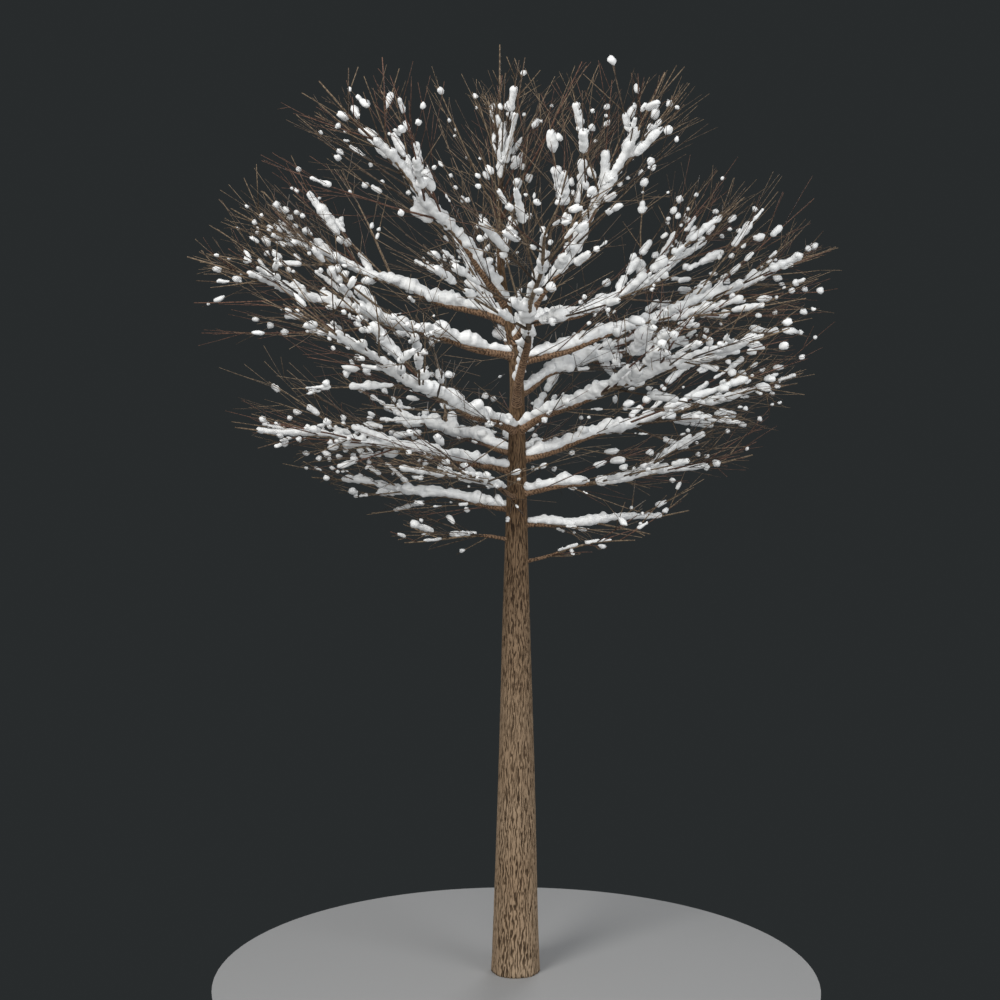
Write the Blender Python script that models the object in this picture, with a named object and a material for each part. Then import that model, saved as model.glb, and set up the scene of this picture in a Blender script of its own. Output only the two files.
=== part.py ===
"""Bare winter tree ten metres tall, with snow lying on its boughs and twigs.

Metres, +Z up. The origin is the middle of the flat cut under the trunk.
One trunk, twenty-one boughs, a mass of twigs at the end of each bough and at the
top of the trunk, and a ridge of snow on each of the stouter boughs.
"""
import math
import random
from collections import namedtuple

import bmesh
import bpy
import numpy as np
from mathutils import Vector

for old in list(bpy.data.objects):
    bpy.data.objects.remove(old)

# ---------------------------------------------------------------- driving sizes
SEED = 4207
GAP = 0.0003            # clear space between neighbouring pieces

TRUNK_BASE_R = 0.252    # radius at the flat cut, before the flare
TRUNK_TAPER = 0.0284    # loss of radius for each metre of height
ROOT_FLARE = 0.007
TRUNK_TOP = 7.90        # height where the leader passes into the top twigs
TRUNK_RINGS = 19
TRUNK_SIDES = 16
FORK_HEIGHT = 6.2       # the leader starts to lean here
LEADER_LEAN = 0.185     # how far the leader moves to the left
TREE_TOP = 9.96         # tip of the highest stem

CROWN_R = 3.56          # widest reach of the twigs
CROWN_MID = 7.30        # height of the widest part
CROWN_UP = 2.32         # from there to the top of the dome
CROWN_DOWN = 2.90       # and down to the lowest twigs
CROWN_DOME = 2.3        # how square the shoulders are: 2 is a round dome
CROWN_SKIRT = 1.9       # the same for the underside
CROWN_HEART = 6.00      # twigs spread away from this point on the axis

BOUGH_SHARE = 0.31      # part of a limb's length that is bough, the rest is mass
BOUGH_SIDES = 8
BOUGH_RINGS = 5
TIP_R = 0.006
LIMB_TAPER = 1.25       # over 1 a limb thins fastest by the trunk
SWAY = 7.0              # degrees a limb wanders to either side
SAG = 6.0               # degrees it wanders up and down

SNOW_WIDE = 0.070       # half width of a snow ridge
SNOW_DEEP = 0.112       # its top, above the middle of the bough
RIDGE_R = 0.052         # half thickness of the snow on a mass's stem
ARM_STEP = 0.40         # distance between the arms on a stem
TOP_REACH = 3.3         # the arms on the leader are those of a stem this long
TWIG_R = 0.0075

# A limb leaves the trunk at a height, on a bearing counted from +X towards +Y,
# and rises at one angle by the trunk and another at its tip.
Limb = namedtuple("Limb", "name height bearing rise lift length girth snowy")
LIMBS = [
    Limb("low_right", 4.37, 346, 20, 3, 1.52, 0.018, False),
    Limb("low_left", 4.61, 192, 8, -13, 1.38, 0.019, False),
    Limb("skirt_right", 4.78, 12, 2, 8, 2.17, 0.028, True),
    Limb("skirt_left", 4.95, 164, 11, 7, 2.44, 0.031, True),
    Limb("skirt_front", 5.08, 256, 6, 6, 2.60, 0.029, False),
    Limb("shelf_right", 5.12, 350, 6, 11, 2.55, 0.034, True),
    Limb("shelf_back", 5.24, 90, 19, 14, 3.45, 0.034, False),
    Limb("shelf_left", 5.34, 186, 15, 2, 3.30, 0.039, True),
    Limb("arm_right", 5.47, 10, 20, 12, 3.35, 0.040, True),
    Limb("arm_back_left", 5.56, 126, 13, 12, 3.60, 0.039, True),
    Limb("arm_front_left", 5.78, 236, 9, 22, 3.65, 0.042, True),
    Limb("arm_front_right", 5.78, 316, 18, 8, 3.65, 0.041, True),
    Limb("fork", 6.05, 275, 37, 11, 3.70, 0.050, False),
    Limb("wide_back_right", 6.18, 54, 22, 12, 3.65, 0.040, True),
    Limb("wide_right", 6.52, 2, 17, 24, 3.78, 0.046, True),
    Limb("wide_front_left", 6.60, 207, 11, 15, 3.65, 0.045, True),
    Limb("crown_front_right", 6.73, 308, 38, 52, 3.35, 0.045, True),
    Limb("crown_back", 6.66, 104, 28, 34, 3.75, 0.040, True),
    Limb("crown_right", 6.90, 28, 8, 49, 3.65, 0.042, True),
    Limb("crown_left", 6.96, 168, 17, 30, 3.80, 0.046, True),
    Limb("crown_front_left", 7.14, 226, 42, 30, 3.20, 0.041, True),
]


# ---------------------------------------------------------------- the tree's rule
def ease(t):
    t = min(max(t, 0.0), 1.0)
    return t * t * (3 - 2 * t)


def trunk_axis(z):
    """Middle of the trunk at a height: upright, then the leader leans left."""
    lean = LEADER_LEAN * ease((z - FORK_HEIGHT) / 1.6)
    return Vector((0.016 * min(z / 6, 1) - lean, 0.03 * ease(z / 8), z))


def trunk_radius(z):
    flare = ROOT_FLARE * math.exp(-z / 0.25)
    return max(TRUNK_BASE_R - TRUNK_TAPER * z, 0.012) + flare


def crown_share(point):
    """How far out a point is: 0 at the middle of the crown and 1 at its edge."""
    up = point.z >= CROWN_MID
    tall, power = (CROWN_UP, CROWN_DOME) if up else (CROWN_DOWN, CROWN_SKIRT)
    out = math.hypot(point.x, point.y) / CROWN_R
    return (out ** power + (abs(point.z - CROWN_MID) / tall) ** power) ** (1 / power)


def heading(bearing, rise):
    b = math.radians(bearing)
    r = math.radians(rise)
    return Vector((math.cos(b) * math.cos(r), math.sin(b) * math.cos(r), math.sin(r)))


def limb_way(limb, s):
    """The way a limb points at a distance along it from the trunk's axis."""
    bearing = limb.bearing + SWAY * math.sin(s * 4.6 + limb.height * 7)
    rise = limb.rise + (limb.lift - limb.rise) * s / limb.length
    return heading(bearing, rise + SAG * math.sin(s * 6.3 + limb.height * 11))


def limb_point(limb, s):
    """The point on a limb's middle line at a distance from the trunk's axis."""
    point = trunk_axis(limb.height)
    steps = int(s / 0.05)
    for i in range(steps):
        point = point + limb_way(limb, (i + 0.5) * 0.05) * 0.05
    return point + limb_way(limb, s) * (s - steps * 0.05)


def limb_radius(limb, s):
    return TIP_R + (limb.girth - TIP_R) * max(1 - s / limb.length, 0) ** LIMB_TAPER


def side_way(along, roll, angle):
    """A way that parts from another by an angle, on the side the roll gives."""
    flat = along.cross(Vector((0, 0, 1)))
    flat = flat.normalized() if flat.length > 0.2 else Vector((1, 0, 0))
    over = flat.cross(along).normalized()
    side = flat * math.cos(roll) + over * math.sin(roll)
    return (along * math.cos(angle) + side * math.sin(angle)).normalized()


def shoot(point, way, length, steps, share):
    """A shoot's points: it bends out from the crown's heart and stops at its edge."""
    points = [point]
    for _ in range(steps):
        out = points[-1] - Vector((0, 0, CROWN_HEART))
        out.z = max(out.z, 0.3 * out.z)
        way = (way * (1 - share) + out.normalized() * share).normalized()
        step = way * (length / steps)
        while crown_share(points[-1] + step) > 1 and step.length > 0.05:
            step = step * 0.85
        if crown_share(points[-1] + step) > 1:
            break
        points.append(points[-1] + step)
    return points


def between(points, f):
    """The point a share of the way along a line, and the way the line goes there."""
    f = f * (len(points) - 1)
    k = min(int(f), len(points) - 2)
    way = (points[k + 1] - points[k]).normalized()
    return points[k].lerp(points[k + 1], f - k), way


class Shoot:
    """A stem, an arm off a stem or a twig off an arm: level 0, 1 or 2."""

    def __init__(self, points, thick, thin, way, parent=None):
        self.points, self.thick, self.thin, self.way = points, thick, thin, way
        self.parent = parent
        self.level = parent.level + 1 if parent else 0
        self.kept = parent is None


def grow_arms(stem, reach, steep, rng):
    """The arms on both sides of a mass's stem, and the twigs on each arm."""
    found = [stem]
    count = max(4, round(reach / ARM_STEP))
    for i in range(count):
        t = 0.04 + 0.84 * (i + rng.uniform(0.2, 0.8)) / count
        root, way = between(stem.points, t)
        turn = 2.4 * i if steep else math.pi * i
        turn += rng.uniform(-0.5, 1.2) if i % 2 == 0 else rng.uniform(-1.2, 0.5)
        way = side_way(way, turn, math.radians(rng.uniform(36, 54)))
        length = (0.60 * reach * (1 - t) + 0.35) * rng.uniform(0.8, 1.1)
        points = shoot(root, way, length, 2 if length > 0.9 else 1, 0.16)
        if len(points) < 2:
            continue
        arm = Shoot(points, 0.42 * stem.thick * (1 - t) + 0.005, TIP_R * 0.8, way, stem)
        found.append(arm)
        for j in range(2 if length > 1.0 else 1):
            knot, way = between(points, 0.38 + 0.34 * j + rng.uniform(-0.08, 0.08))
            angle = math.radians(rng.uniform(32, 46))
            way = side_way(way, math.pi * (i + j) + rng.uniform(-1, 1), angle)
            twig = shoot(knot, way, rng.uniform(0.44, 0.66), 1, 0.2)
            if len(twig) == 2:
                found.append(Shoot(twig, TWIG_R, TIP_R * 0.7, way, arm))
    return found


def limb_shoots(limb, number):
    """The stem that goes on from a bough's tip, with all that grows on it."""
    start, end = BOUGH_SHARE * limb.length + GAP, limb.length
    while crown_share(limb_point(limb, end)) > 1:
        end -= 0.05
    line = [limb_point(limb, start + (end - start) * i / 4) for i in range(5)]
    stem = Shoot(line, limb_radius(limb, start), TIP_R, limb_way(limb, start))
    return grow_arms(stem, end - start, limb.rise > 45, random.Random(SEED + number))


def top_shoots(number):
    """The leader going on above the trunk's tip, with its arms and twigs."""
    start = TRUNK_TOP + GAP
    line = [trunk_axis(start + (TREE_TOP - start) * i / 4) for i in range(5)]
    stem = Shoot(line, trunk_radius(start), TIP_R, Vector((0, 0, 1)))
    return grow_arms(stem, TOP_REACH, True, random.Random(SEED + number))


# ---------------------------------------------------------------- making meshes
def paint(obj, colour, rough):
    material = bpy.data.materials.new(obj.name)
    material.use_nodes = True
    shader = material.node_tree.nodes["Principled BSDF"]
    shader.inputs["Base Color"].default_value = (*colour, 1)
    shader.inputs["Roughness"].default_value = rough
    obj.data.materials.clear()
    obj.data.materials.append(material)


def body(name, verts, faces, home=None):
    mesh = bpy.data.meshes.new(name)
    mesh.from_pydata(verts, [], faces)
    bm = bmesh.new()
    bm.from_mesh(mesh)
    bmesh.ops.recalc_face_normals(bm, faces=bm.faces)
    bm.to_mesh(mesh)
    bm.free()
    obj = bpy.data.objects.new(name, mesh)
    (home or bpy.context.scene.collection).objects.link(obj)
    return obj


def skin(name, rings, split=True, home=None):
    """A closed body over a row of rings, with its ends flat and its sides split or not."""
    n = len(rings[0])
    faces = [list(range(n)), [(len(rings) - 1) * n + j for j in range(n)]]
    for i in range(len(rings) - 1):
        for j in range(n):
            a, b = i * n + j, i * n + (j + 1) % n
            faces += [(a, b, b + n), (a, b + n, a + n)] if split else [(a, b, b + n, a + n)]
    return body(name, [v for ring in rings for v in ring], faces, home)


def across_and_over(way):
    """A level direction across a way, and the one that stands over it."""
    flat = way.cross(Vector((0, 0, 1)))
    flat = flat.normalized() if flat.length > 0.05 else Vector((1, 0, 0))
    return flat, flat.cross(way).normalized()


def circle(middle, way, radius, sides):
    flat, over = across_and_over(way)
    ring = []
    for j in range(sides):
        a = math.pi / 2 + math.tau * j / sides
        ring.append(middle + flat * (radius * math.cos(a)) + over * (radius * math.sin(a)))
    return ring


def trunk_body(name, extra):
    """The whole trunk, its skin standing out by an extra amount."""
    rings = []
    for i in range(TRUNK_RINGS):
        z = TRUNK_TOP * (i / (TRUNK_RINGS - 1)) ** 1.12
        ring = []
        for j in range(TRUNK_SIDES):
            a = math.tau * j / TRUNK_SIDES
            swell = 1 + 0.018 * math.sin(3 * a + z) + 0.01 * math.sin(5 * a - 2 * z)
            out = Vector((math.cos(a), math.sin(a), 0))
            ring.append(trunk_axis(z) + out * (trunk_radius(z) * swell + extra))
        rings.append(ring)
    return skin(name, rings)


def bough_stations(limb):
    """Distances along a bough of its rings: at the axis, clear of the trunk, then even."""
    slope = math.radians(limb.rise)
    start = trunk_radius(limb.height) + 0.03 + SNOW_DEEP * math.sin(slope)
    start /= math.cos(slope)
    end = BOUGH_SHARE * limb.length
    return [0.0] + [start + (end - start) * i / BOUGH_RINGS for i in range(BOUGH_RINGS + 1)]


def bough_body(limb, trunk_room):
    """A tapering bough, cut to the trunk's skin at its root."""
    rings = []
    for s in bough_stations(limb):
        rings.append(circle(limb_point(limb, s), limb_way(limb, s), limb_radius(limb, s), BOUGH_SIDES))
    bough = skin("bough_" + limb.name, rings)
    cut = bough.modifiers.new("root", "BOOLEAN")
    cut.operation = "DIFFERENCE"
    cut.solver = "EXACT"
    cut.object = trunk_room
    apply(bough)
    return bough


def snow_body(limb):
    """Snow lying along the top of a bough, wider than the bough and lumpy."""
    rings = []
    stations = bough_stations(limb)[1:]
    for i, s in enumerate(stations):
        end = min(i, len(stations) - 1 - i)
        swell = (0.66, 1.0, 1.05)[min(end, 2)] + 0.12 * math.sin(2.1 * i + 5 * limb.height)
        wide = SNOW_WIDE * swell * (0.6 + 9.6 * limb.girth)
        deep = SNOW_DEEP * swell * (0.6 + 9.6 * limb.girth)
        middle, way = limb_point(limb, s), limb_way(limb, s)
        seat = circle(middle, way, limb_radius(limb, s) + GAP * 1.1, BOUGH_SIDES)
        flat, over = across_and_over(way)
        ring = [seat[-1], seat[0], seat[1]]
        for x, y in ((-1, 0.15), (-0.78, 0.75), (0, 1), (0.78, 0.75), (1, 0.15)):
            ring.append(middle + flat * (x * wide) + over * (y * deep))
        rings.append(ring)
    return skin("snow_" + limb.name, rings)


def apply(obj):
    """Make an object's modifiers part of its mesh, and keep only its largest body."""
    graph = bpy.context.evaluated_depsgraph_get()
    mesh = bpy.data.meshes.new_from_object(obj.evaluated_get(graph))
    obj.modifiers.clear()
    obj.data = mesh
    bm = bmesh.new()
    bm.from_mesh(mesh)
    bm.verts.ensure_lookup_table()
    seen, best = set(), []
    for vert in bm.verts:
        if vert in seen:
            continue
        group, todo = [], [vert]
        seen.add(vert)
        while todo:
            one = todo.pop()
            group.append(one)
            for edge in one.link_edges:
                other = edge.other_vert(one)
                if other not in seen:
                    seen.add(other)
                    todo.append(other)
        if len(group) > len(best):
            best = group
    best = set(best)
    bmesh.ops.delete(bm, geom=[v for v in bm.verts if v not in best], context="VERTS")
    bm.to_mesh(mesh)
    bm.free()


def twig_body(name, made, home=None):
    """A three-sided twig, tapering from its root to its tip, its sides quite flat."""
    rings = []
    for i, point in enumerate(made.points):
        radius = made.thick + (made.thin - made.thick) * i / (len(made.points) - 1)
        rings.append(circle(point, made.way, radius, 3))
    return skin(name, rings, False, home)


def ridge_line(made, start, end, radius):
    """Middles of a snow ridge on a shoot: its ends lie on the shoot, the rest above."""
    shares = (0, 0.12, 0.40, 0.68, 0.90, 1) if made.level == 0 else (0, 0.25, 0.70, 1)
    line = [between(made.points, start + (end - start) * share)[0] for share in shares]
    over = across_and_over(made.way)[1] * (0.35 * radius)
    return [line[0]] + [point + over for point in line[1:-1]] + [line[-1]]


def ridge_body(name, made, line, radius, home):
    """A four-sided ridge of snow, thin at both ends, lying along a shoot."""
    verts = [line[0]]
    for i, middle in enumerate(line[1:-1]):
        verts += circle(middle, made.way, radius * (1.0, 0.80, 1.05, 0.70)[i], 4)
    verts.append(line[-1])
    last = len(verts) - 1
    faces = []
    for j in range(4):
        a, b = 1 + j, 1 + (j + 1) % 4
        faces.append((0, b, a))
        for k in range(0, last - 5, 4):
            faces.append((a + k, b + k, b + k + 4, a + k + 4))
        faces.append((a + last - 5, b + last - 5, last))
    return body(name, verts, faces, home)


class Crowd:
    """Round bars that stand for everything already in its place."""

    def __init__(self):
        self.starts, self.runs, self.radii, self.owners = [], [], [], []

    def add(self, owner, points, radius):
        for a, b in zip(points, points[1:]):
            self.starts.append(tuple(a))
            self.runs.append(tuple(b - a))
            self.radii.append(radius)
            self.owners.append(owner)

    def touched_by(self, owner, points, radius):
        """True where a line of this radius comes too near to another owner's bars."""
        other = np.array([name != owner for name in self.owners])
        starts = np.array(self.starts)[other]
        runs = np.array(self.runs)[other]
        limits = np.array(self.radii)[other] + radius + 0.01
        squares = (runs ** 2).sum(axis=1)
        for a, b in zip(points, points[1:]):
            steps = max(2, int((b - a).length / 0.03))
            for i in range(steps + 1):
                p = np.array(a.lerp(b, i / steps))
                t = np.clip(((p - starts) * runs).sum(axis=1) / squares, 0, 1)
                gaps = np.linalg.norm(starts + runs * t[:, None] - p, axis=1)
                if (gaps < limits).any():
                    return True
        return False


def snow_on(made, rng):
    """Where a ridge of snow begins and ends on a shoot, and its radius."""
    if made.level == 0:
        return 0.05, rng.uniform(0.68, 0.82), RIDGE_R * rng.uniform(1.0, 1.2)
    if made.level == 1 and rng.random() < 0.6:
        return rng.uniform(0.08, 0.22), rng.uniform(0.55, 0.80), RIDGE_R * rng.uniform(0.77, 1.0)
    return None


def mass_body(name, shoots, crowd, number):
    """One mass: the twigs and snow that have room, fused into a single body."""
    rng = random.Random(SEED * 3 + number)
    helpers = bpy.data.collections.new(name)
    bpy.context.scene.collection.children.link(helpers)
    stem = twig_body(name, shoots[0])
    for made in shoots:
        if made.level and made.kept:
            twig_body("twig", made, helpers)
        laid = snow_on(made, rng) if made.kept else None
        if not laid:
            continue
        line = ridge_line(made, *laid)
        if not crowd.touched_by(name, line[1:-1], laid[2]):
            crowd.add(name, line[1:-1], laid[2])
            ridge_body("ridge", made, line, laid[2], helpers)
    fuse = stem.modifiers.new("fuse", "BOOLEAN")
    fuse.operation = "UNION"
    fuse.solver = "EXACT"
    fuse.operand_type = "COLLECTION"
    fuse.collection = helpers
    apply(stem)
    for helper in list(helpers.objects):
        bpy.data.objects.remove(helper)
    bpy.data.collections.remove(helpers)
    return stem


# ---------------------------------------------------------------- the tree
BARK = (0.165, 0.115, 0.078)
BOUGH_BARK = (0.130, 0.078, 0.052)
TWIGS = (0.205, 0.120, 0.072)
SNOW = (0.86, 0.89, 0.93)


def build_trunk(crowd):
    paint(trunk_body("trunk", 0.0), BARK, 0.9)
    for i in range(20):
        low, high = TRUNK_TOP * i / 20, TRUNK_TOP * (i + 1) / 20
        crowd.add("trunk", [trunk_axis(low), trunk_axis(high)], trunk_radius(low))


def build_boughs(crowd):
    """The boughs round the trunk, and the snow on those that carry a ridge."""
    trunk_room = trunk_body("trunk_room", GAP * 1.1)
    trunk_room.hide_render = True
    trunk_room.display_type = "WIRE"
    for limb in LIMBS:
        paint(bough_body(limb, trunk_room), BOUGH_BARK, 0.9)
        line = [limb_point(limb, s) for s in bough_stations(limb)]
        crowd.add("bough_" + limb.name, line, limb.girth)
        if limb.snowy:
            paint(snow_body(limb), SNOW, 0.6)
            over = Vector((0, 0, 0.5 * SNOW_DEEP))
            crowd.add("snow_" + limb.name, [point + over for point in line[1:]], SNOW_WIDE)
    bpy.data.objects.remove(trunk_room)


def build_masses(crowd):
    """The masses: every stem first, then the arms, then the twigs that have room."""
    plans = {"twigs_" + limb.name: limb_shoots(limb, i) for i, limb in enumerate(LIMBS)}
    plans["twigs_top"] = top_shoots(len(LIMBS))
    for name, shoots in plans.items():
        crowd.add(name, shoots[0].points, shoots[0].thick)
    for level in (1, 2):
        for name, shoots in plans.items():
            for made in shoots:
                if made.level != level or not made.parent.kept:
                    continue
                if not crowd.touched_by(name, made.points, made.thick):
                    made.kept = True
                    crowd.add(name, made.points, made.thick)
    for number, (name, shoots) in enumerate(plans.items()):
        paint(mass_body(name, shoots, crowd, number), TWIGS, 0.85)


standing = Crowd()
build_trunk(standing)
build_boughs(standing)
build_masses(standing)
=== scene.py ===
import math
import random
from collections import namedtuple

import bmesh
import bpy
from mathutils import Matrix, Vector, noise


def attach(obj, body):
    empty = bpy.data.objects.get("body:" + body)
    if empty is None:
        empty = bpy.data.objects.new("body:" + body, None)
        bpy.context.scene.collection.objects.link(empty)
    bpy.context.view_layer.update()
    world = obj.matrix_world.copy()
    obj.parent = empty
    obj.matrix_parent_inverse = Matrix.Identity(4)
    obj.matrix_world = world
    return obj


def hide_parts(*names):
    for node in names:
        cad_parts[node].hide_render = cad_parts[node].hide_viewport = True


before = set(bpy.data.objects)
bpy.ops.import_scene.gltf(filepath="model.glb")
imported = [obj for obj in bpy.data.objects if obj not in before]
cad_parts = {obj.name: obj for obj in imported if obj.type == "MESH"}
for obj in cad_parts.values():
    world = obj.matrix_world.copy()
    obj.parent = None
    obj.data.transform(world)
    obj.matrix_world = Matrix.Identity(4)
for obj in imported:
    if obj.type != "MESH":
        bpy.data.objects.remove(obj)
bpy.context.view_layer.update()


# ---------------------------------------------------------------- the trunk
# One upright stem of solid wood, sawn flat at the ground, whose leader leans to
# one side from about two thirds of the tree's height. Its skin is furrowed bark:
# narrow ridges run up the stem, part and join again, with dark furrows between.
# The furrows' colour is their own darker bark with painted shade laid over it.
TRUNK_BASE_R = 0.252    # radius at the flat cut
TRUNK_TAPER = 0.0284    # loss of radius for each metre of height
TRUNK_MIN_R = 0.012
ROOT_FLARE = 0.007      # how much wider the stem is at the cut
FLARE_TALL = 0.25       # height over which that dies away
TRUNK_TOP = 7.90
FORK_HEIGHT = 6.2       # where the leader starts to lean
LEADER_LEAN = 0.185
LEAN_TALL = 1.6         # height over which it leans
BEND_RIGHT = 0.016      # on its way up the stem strays a little to the right,
BEND_RIGHT_TALL = 6     # over this height,
BEND_BACK = 0.03        # and to the back,
BEND_BACK_TALL = 8      # over this one
THREE_SIDED = 0.018     # share of the radius by which it is three-sided
FIVE_SIDED = 0.01       # and five-sided
TRUNK_COLUMNS = 300     # steps round the stem
TRUNK_ROW = 0.026       # steps up the stem
RIDGES = (44, 26)       # ridges of bark round the stem, below and above, even numbers
JOIN_FROM = 1.8         # height from which the ridges join until the fewer are left
JOIN_TALL = 2.2
FURROW_WIDE = 0.90      # share of a ridge that slopes down to its furrows
FURROW_DEEP = 0.013     # on the widest part of the stem
FURROW_LEAST = 0.35     # share of that depth which even a thin stem has
STEM_SKIN = 0.75        # height in the bark, from 0 to 1, that lies on the stem's radius
# Ridges stray: how far, how often round the wood, over what length, and a shift.
STEM_STRAYS = ((3.6, 3.0, 0.22, 0.0), (2.2, 9.0, 0.065, 5.0))
STEM_JOINS = (0.75, 8.0, 0.12, 9.0)     # the same for the places where furrows close
STEM_GRAIN = (110, 110, 18)             # fine flakes to a metre, drawn out up the stem
STEM_MOTTLE = 1.3                       # broad patches of tone to a metre
# Painted shade lies in the furrows: their colour is near black, darker than the bark's own, and
# follows the relief.
FURROW_SHADE_COLOUR = (0.012, 0.006, 0.003)
BARK_COLOUR = (0.098, 0.064, 0.036)
RIDGE_COLOUR = (0.350, 0.256, 0.170)
YOUNG_BARK = (0.44, 0.38, 0.32)         # how much darker and redder bark is higher up
YOUNG_FROM, YOUNG_TO = 0.5, 5.0         # heights between which it turns so
PATCH_SHADE = (0.84, 0.80, 0.76)        # tone of the darker broad patches
FROM_RIDGE = 0.62                       # how much of bark's colour its relief decides
FROM_FLAKES = 0.76                      # and how much its fine flakes do
BARK_STOPS = (0.28, 0.72, 1.0)          # where its dark, middle and pale tones lie
BARK_ROUGH = (0.78, 0.97)


def ease(t):
    """A smooth step from 0 to 1."""
    t = min(max(t, 0.0), 1.0)
    return t * t * (3 - 2 * t)


def trunk_axis(z):
    """Middle of the trunk at a height: upright, then the leader leans left."""
    lean = LEADER_LEAN * ease((z - FORK_HEIGHT) / LEAN_TALL)
    right = BEND_RIGHT * min(z / BEND_RIGHT_TALL, 1) - lean
    return Vector((right, BEND_BACK * ease(z / BEND_BACK_TALL), z))


def trunk_radius(z):
    """Radius of the trunk at a height, with the flare at its foot."""
    flare = ROOT_FLARE * math.exp(-z / FLARE_TALL)
    return max(TRUNK_BASE_R - TRUNK_TAPER * z, TRUNK_MIN_R) + flare


def ridges_stray(out, along, strays):
    """How far the ridges stray at a place, in radians of the wave that makes them."""
    return sum(
        far * noise.noise(out * often + Vector((shift, 0, along / long)))
        for far, often, long, shift in strays
    )


def ridges_join(out, along, joins):
    """How far a furrow is filled at a place, where the ridges beside it join."""
    far, often, long, shift = joins
    return far * max(noise.noise(out * often + Vector((0, shift, along / long))), 0)


def stem_ridge(out, a, z):
    """1 on a ridge and 0 in a furrow, at an angle round the stem and a height on it."""
    stray = ridges_stray(out, z, STEM_STRAYS)
    many, few = (abs(math.sin(count / 2 * a + stray)) for count in RIDGES)
    slope = (many + (few - many) * ease((z - JOIN_FROM) / JOIN_TALL)) / FURROW_WIDE
    return min(slope + ridges_join(out, z, STEM_JOINS), 1.0)


def tube_faces(rows, n, base=0, clockwise=False):
    """Faces of a closed tube over rows of n points, which turn anticlockwise or
    clockwise as seen from its far end."""
    faces = []
    for i in range(rows - 1):
        for j in range(n):
            a, b = base + i * n + j, base + i * n + (j + 1) % n
            faces.append((b, a, a + n, b + n) if clockwise else (a, b, b + n, a + n))
    near = list(range(base, base + n))
    far = list(range(base + (rows - 1) * n, base + rows * n))
    (far if clockwise else near).reverse()
    return faces + [tuple(near), tuple(far)]


def mesh_piece(name, verts, faces, heights=None):
    """A smooth mesh object. Its points may hold how high they stand in their bark."""
    mesh = bpy.data.meshes.new(name)
    mesh.from_pydata(verts, [], faces)
    mesh.shade_smooth()
    if heights:
        held = mesh.attributes.new("ridge", "FLOAT", "POINT")
        held.data.foreach_set("value", heights)
    piece = bpy.data.objects.new(name, mesh)
    bpy.context.scene.collection.objects.link(piece)
    return piece


def new_finish(name, specular):
    """An empty finish, its nodes, its links and its shader."""
    material = bpy.data.materials.new(name)
    material.use_nodes = True
    nodes = material.node_tree.nodes
    shader = nodes["Principled BSDF"]
    shader.inputs["Specular IOR Level"].default_value = specular
    return material, nodes, material.node_tree.links, shader


def speckle(nodes, links, place, scale, detail):
    """Noise over a place, by its lumps to a metre and how fine it goes."""
    node = nodes.new("ShaderNodeTexNoise")
    node.inputs["Scale"].default_value = scale
    node.inputs["Detail"].default_value = detail
    links.new(place, node.inputs["Vector"])
    return node


def tones(nodes, links, value, *stops):
    """A run of colours over a value, from pairs of a position and a colour."""
    ramp = nodes.new("ShaderNodeValToRGB")
    marks = ramp.color_ramp.elements
    marks[0].position = stops[0][0]
    marks[0].color = (*stops[0][1], 1)
    marks[1].position = stops[-1][0]
    marks[1].color = (*stops[-1][1], 1)
    for position, colour in stops[1:-1]:
        marks.new(position).color = (*colour, 1)
    links.new(value, ramp.inputs["Fac"])
    return ramp.outputs["Color"]


def shaded(nodes, links, colour, shade):
    """A colour darkened by another. A factor that is linked later can hold it back."""
    mix = nodes.new("ShaderNodeMix")
    mix.data_type = "RGBA"
    mix.blend_type = "MULTIPLY"
    mix.inputs["Factor"].default_value = 1.0
    links.new(colour, mix.inputs["A"])
    if isinstance(shade, tuple):
        mix.inputs["B"].default_value = (*shade, 1)
    else:
        links.new(shade, mix.inputs["B"])
    return mix


def rough_skin(nodes, links, shader, value, roughness, strength, depth):
    """Roughness and a fine relief that both follow one noise."""
    rough = nodes.new("ShaderNodeMapRange")
    rough.inputs["To Min"].default_value = roughness[0]
    rough.inputs["To Max"].default_value = roughness[1]
    bump = nodes.new("ShaderNodeBump")
    bump.inputs["Strength"].default_value = strength
    bump.inputs["Distance"].default_value = depth
    links.new(value, rough.inputs["Value"])
    links.new(value, bump.inputs["Height"])
    links.new(rough.outputs["Result"], shader.inputs["Roughness"])
    links.new(bump.outputs["Normal"], shader.inputs["Normal"])


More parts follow.
